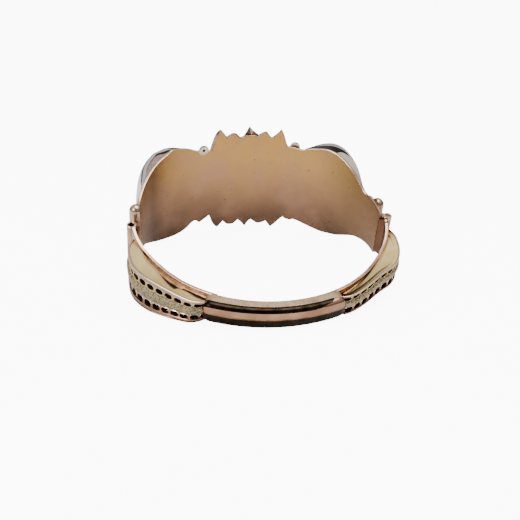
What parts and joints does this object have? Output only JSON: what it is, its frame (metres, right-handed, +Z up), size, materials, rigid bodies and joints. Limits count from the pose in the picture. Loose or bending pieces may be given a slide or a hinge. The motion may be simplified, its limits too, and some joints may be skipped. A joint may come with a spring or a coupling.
{
  "type": "hinged bangle",
  "caption": "Oval hinged gold bangle lying on its side: tall curved front plaque with a toothed crest and two hollow domes, narrow half-round back, pierced hollow boxes on the shoulders.",
  "frame": {"origin": "on the table, below the middle of the bangle's bounding box", "axes": "+Z up from the table, +Y towards the front plaque, +X towards the hinge"},
  "size_m": [0.0663, 0.0585, 0.032],
  "materials": {
    "front_plaque": "satin inside, polished outside",
    "rear_band": "polished",
    "hinge_pin": "polished",
    "catch_tongue": "polished"
  },
  "bodies": {
    "rear": {"rear_band": "rear_band"},
    "front": {"front_plaque": "front_plaque", "hinge_pin": "hinge_pin", "catch_tongue": "catch_tongue"}
  },
  "joints": [
    {"name": "front_hinge", "type": "hinge", "parent": "rear", "child": "front", "pos_m": [0.0318, 0.00012, 0.00976], "axis": [0, 0.2436, -0.9699], "range_deg": [0, 60]}
  ]
}
